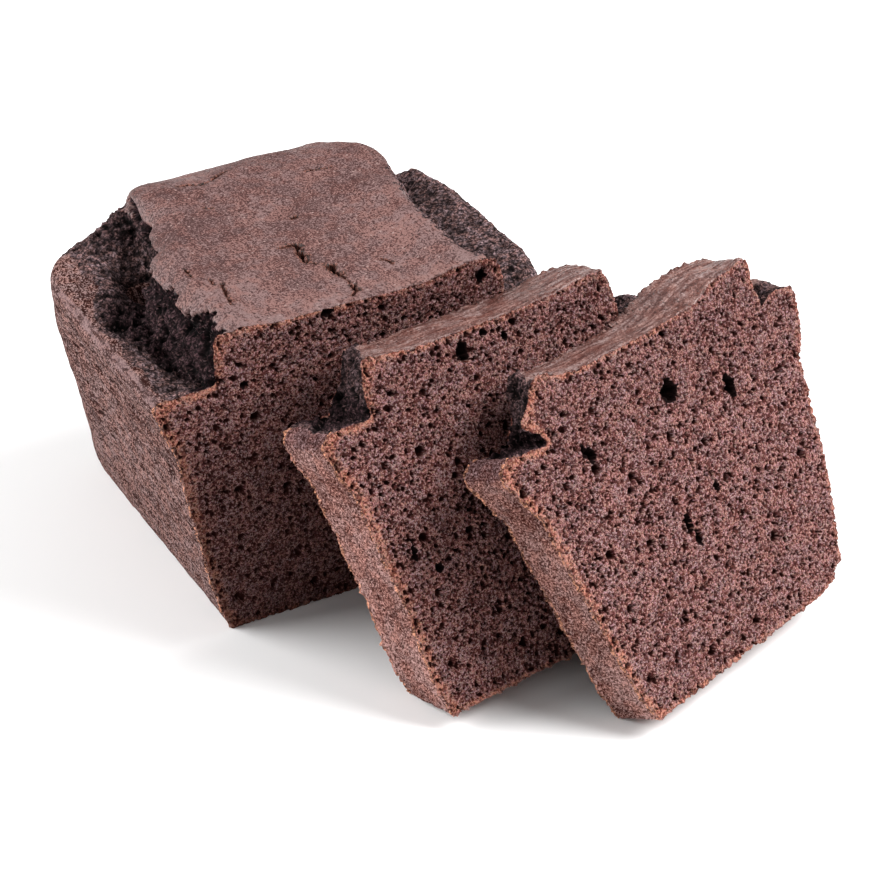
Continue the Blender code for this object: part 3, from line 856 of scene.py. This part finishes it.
def crumb_colour(graph, here):
    """The cut crumb: grains from dark to light, painted shade in its pores and holes, and a warmer, lighter
    band along the outline.
    """
    left = graph.step(here.across, *RIM_WIDER)
    at_rim = graph.step(graph.add(here.rim, graph.times(here.blotchy, 0.8), left), 0.4, 0.8)
    warm = graph.times(at_rim, graph.step(here.across, *RIM_WARMER))
    grains = graph.times(here.strong, here.grain, graph.step(warm, 0.0, 1.0, 0.66, 0.9))
    crumb = graph.ramp(graph.add(grains, graph.times(here.bright, 0.35), graph.times(warm, 0.13)), *CRUMB)
    varied = graph.noise(here.at, 0.5, 1.0)[1]
    crumb = graph.tinted(crumb, graph.vector("MULTIPLY_ADD", varied, VARIED_SPAN, VARIED_FROM))
    # Painted shade by height: the loaf's cut face darker lower down, a slice's darker higher up
    loaf_shade = graph.times(graph.step(here.high, *LOAF_SHADE), here.whole)
    slice_shade = graph.times(here.sliced, graph.step(here.high, *SLICE_SHADE))
    crumb = graph.scaled(graph.tinted(crumb, here.cool), graph.add(loaf_shade, slice_shade))
    crumb = graph.mix(graph.times(warm, 0.8), crumb, graph.tinted(crumb, CRUMB_RIM_TINT))
    small = graph.times(here.small, graph.step(at_rim, 0.0, 1.0, 0.95, 0.8))
    crumb = graph.mix(graph.most(small, graph.step(here.pored, 0.15, 0.55)), crumb, PORE)
    return graph.mix(here.opened, crumb, HOLE)


def loaf_top_colour(graph, here):
    """The plateau's crust with painted sheen: lighter towards the cut and a little on the right, and with a
    pale painted sheen along the cut itself.
    """
    near, right = graph.step(here.deep, *TOP_NEAR), graph.step(here.across, *TOP_RIGHT)
    uneven = graph.add(graph.times(here.lively, 1.4), here.streaky, graph.times(here.broadly, 1.6))
    tone = graph.add(0.43, near, right, uneven)
    sheen_band = graph.times(graph.step(here.deep, *SHEEN_NEAR), graph.step(here.streaks, 0.4, 0.62), here.whole)
    return graph.mix(graph.times(sheen_band, 0.45), graph.ramp(tone, *LOAF_TOP), LOAF_TOP_SHEEN)


def slice_top_colour(graph, here):
    """The crust of the slices' tops, drawn out across, lighter towards the right end as painted sheen and a
    little lighter towards the left. The light end of its colours, on the wrinkles, is partly painted
    highlight.
    """
    wrinkles = graph.times(graph.uneven(graph.vector("MULTIPLY", here.at, SMEARED), 1.1), 2.0)
    uneven = graph.add(here.across, graph.times(graph.centred(here.patch), 30.0))
    right = graph.step(uneven, *SLICE_TOP_RIGHT)
    aside = graph.add(graph.times(right, 0.06), graph.step(here.across, *SLICE_TOP_LEFT))
    return graph.ramp(graph.add(0.47, graph.times(here.lively, 0.45), wrinkles, aside), *SLICE_TOP)


def top_colour(graph, here):
    """The crust, with dark and light dots, and with its cracks, painted dark inside as shade."""
    top = graph.mix(here.sliced, loaf_top_colour(graph, here), slice_top_colour(graph, here))
    top = graph.tinted(top, here.cool)
    distance, colour = graph.cells(here.at, 0.9)
    chance, dot = graph.split(colour)[0], graph.step(distance, 0.38, 0.18)
    top = graph.mix(graph.times(dot, graph.step(chance, 0.4, 0.35)), top, DARK_DOT)
    top = graph.mix(graph.times(dot, graph.step(chance, 0.92, 0.95)), top, LIGHT_DOT)
    crumbly = graph.scaled(CRACK_EDGE, graph.times(here.grain, here.strong))
    top = graph.mix(graph.step(here.gap, 0.1, 0.45), top, crumbly)
    return graph.mix(here.opened, top, graph.scaled(CRACK_INSIDE, here.strong))


def torn_colour(graph, here):
    """The torn crumb, with painted shade: darker where it lies deep, near black in the shadow under the
    crust's edge, and darkest in its crevices.
    """
    light = graph.mix(graph.step(here.blotch, 0.4, 0.6), TORN_LILAC, TORN_BROWN)
    torn = graph.mix(graph.maths("MINIMUM", here.dark, 1.0), light, TORN_SHADE)
    torn = graph.mix(graph.step(here.dark, 1.0, 1.4), torn, TORN_SHADOW)
    shade = graph.step(here.crag, -1.1, 0.6, graph.step(here.dark, 0.0, 0.7, 0.5, 0.12), 1.3)
    clod = graph.step(graph.cells(graph.warped(here.at, 1.0, 0.9), 0.95)[0], 0.75, 0.35, 0.25, 1.3)
    grain = graph.step(here.grain, 0.2, 1.0, 0.45, 1.1)
    sand = graph.step(here.sandy, 0.36, 0.64, 0.35, 1.65)
    torn = graph.scaled(torn, graph.times(shade, clod, grain, sand))
    return graph.mix(graph.times(here.bright, 0.3), torn, graph.scaled(light, 1.6))


def side_colour(graph, here):
    """The crust that the tin has shaped: streaky on the loaf, with a pale ridge along its lip, painted shade
    in its pinholes and creases, and worn to bright crumb along the cut edges."""
    lively = graph.times(here.lively, graph.step(here.sliced, 0.0, 1.0, 2.0, 0.8))
    streaky = graph.times(here.streaky, graph.step(here.sliced, 0.0, 1.0, 3.0, 0.5))
    bright = graph.times(here.bright, here.sliced, 0.3)
    uneven = graph.add(lively, streaky, graph.times(here.broadly, 0.9), bright)
    base, low = graph.step(here.sliced, 0.0, 1.0, 0.28, 0.42), graph.step(here.high, *SIDE_LOW)
    tone = graph.add(uneven, base, low)
    lip = graph.step(graph.add(here.high, graph.times(here.blotchy, 4.0)), *SLICE_LIP)
    slice_side = graph.ramp(tone, *SLICE_SIDE)
    slice_side = graph.mix(lip, slice_side, graph.tinted(slice_side, SLICE_LIP_TINT))
    side = graph.tinted(graph.mix(here.sliced, graph.ramp(tone, *LOAF_SIDE), slice_side), here.cool)
    outward = graph.times(here.across, graph.maths("SIGN", here.across, 0.0))
    ridge = graph.times(graph.step(outward, *RIDGE_ACROSS), graph.step(here.high, *RIDGE_HIGH))
    ridge = graph.times(ridge, graph.step(here.streaks, 0.35, 0.6, 0.1, 0.65), here.whole)
    side = graph.mix(ridge, side, RIDGE)
    worn = graph.step(graph.add(here.edge, graph.times(here.blotchy, 0.9)), 0.7, 0.95, 0.0, 0.85)
    side = graph.mix(worn, side, graph.scaled(WORN_EDGE, graph.times(here.grain, here.strong)))
    small = graph.times(here.small, here.sliced, 0.35)
    specks = graph.most(here.holed, creases(graph, here.at, here.whole), small)
    return graph.mix(graph.times(specks, 0.94), side, SPECK)


def cake_material():
    """Side, crumb, crust and torn crumb in one material, told apart by the stored zones. The crust shines."""
    material = bpy.data.materials.new("cake")
    material.use_nodes = True
    graph = Graph(material.node_tree)
    shader = material.node_tree.nodes["Principled BSDF"]
    here = Place(graph)
    ragged = graph.times(here.blotchy, 1.2)
    crust = graph.step(graph.add(here.crust, ragged), 0.35, 0.65)
    torn = graph.step(graph.add(here.torn, ragged), 0.3, 0.7)
    colour = graph.mix(here.cut, side_colour(graph, here), crumb_colour(graph, here))
    colour = graph.mix(crust, colour, top_colour(graph, here))
    colour = graph.mix(torn, colour, torn_colour(graph, here))
    gloss = graph.times(crust, graph.without(here.opened))
    wet = graph.times(gloss, here.sliced)
    patchy = graph.step(graph.add(here.blotch, graph.times(here.broad, 0.5)), 0.6, 0.9, *CRUST_SMOOTHER)
    roughness = graph.add(ROUGHNESS, graph.times(gloss, patchy, -1.0), graph.times(wet, WET_SMOOTHER))
    specular = graph.add(SPECULAR, graph.times(gloss, CRUST_SPECULAR), graph.times(wet, WET_SPECULAR))
    grains = {"Strength": BUMP_STRENGTH, "Distance": BUMP_HEIGHT, "Height": here.fine}
    bump = graph.node("ShaderNodeBump", grains)
    graph.tree.links.new(colour, shader.inputs["Base Color"])
    graph.tree.links.new(roughness, shader.inputs["Roughness"])
    graph.tree.links.new(specular, shader.inputs["Specular IOR Level"])
    graph.tree.links.new(bump.outputs[0], shader.inputs["Normal"])
    return material


# Floor, lights and camera


def floor_material():
    material = bpy.data.materials.new("floor")
    material.use_nodes = True
    shader = material.node_tree.nodes["Principled BSDF"]
    shader.inputs["Base Color"].default_value = FLOOR_COLOUR
    shader.inputs["Roughness"].default_value = FLOOR_ROUGHNESS
    return material


def add_floor():
    half = FLOOR_HALF * MM
    mesh = bpy.data.meshes.new("floor")
    corners = [(-half, -half, 0), (half, -half, 0), (half, half, 0), (-half, half, 0)]
    mesh.from_pydata(corners, [], [(0, 1, 2, 3)])
    mesh.materials.append(floor_material())
    floor = bpy.data.objects.new("floor", mesh)
    bpy.context.scene.collection.objects.link(floor)


def add_light(name, at, power):
    light = bpy.data.lights.new(name, "AREA")
    light.shape = "DISK"
    light.size = LIGHT_SIZE * MM
    light.energy = power
    obj = bpy.data.objects.new(name, light)
    obj.location = Vector(at) * MM
    obj.rotation_euler = (Vector(LIGHT_AIM) - Vector(at)).to_track_quat("-Z", "Y").to_euler()
    bpy.context.scene.collection.objects.link(obj)


def add_world():
    world = bpy.data.worlds.new("studio")
    world.use_nodes = True
    background = world.node_tree.nodes["Background"]
    background.inputs["Color"].default_value = (1, 1, 1, 1)
    background.inputs["Strength"].default_value = WORLD_STRENGTH
    bpy.context.scene.world = world


def add_camera(loaf_frame):
    camera = bpy.data.objects.new("camera", bpy.data.cameras.new("camera"))
    camera.location = Vector(loaf_frame[:3, 3]) + Vector(CAMERA_AT) * MM
    camera.rotation_euler = [math.radians(angle) for angle in CAMERA_TURN]
    camera.data.lens = CAMERA_LENS
    camera.data.sensor_width = CAMERA_SENSOR
    camera.data.clip_end = CAMERA_SEES
    bpy.context.scene.collection.objects.link(camera)
    bpy.context.scene.camera = camera


# The scene

relief, material = relief_group(), cake_material()
for name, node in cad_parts.items():
    dress(node, name + "_crumb", relief, material)
add_floor()
add_world()
for name, at, power in LIGHTS:
    add_light(name, at, power)
add_camera(own_frame(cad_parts["loaf"]))
bpy.context.scene.view_settings.view_transform = "Standard"
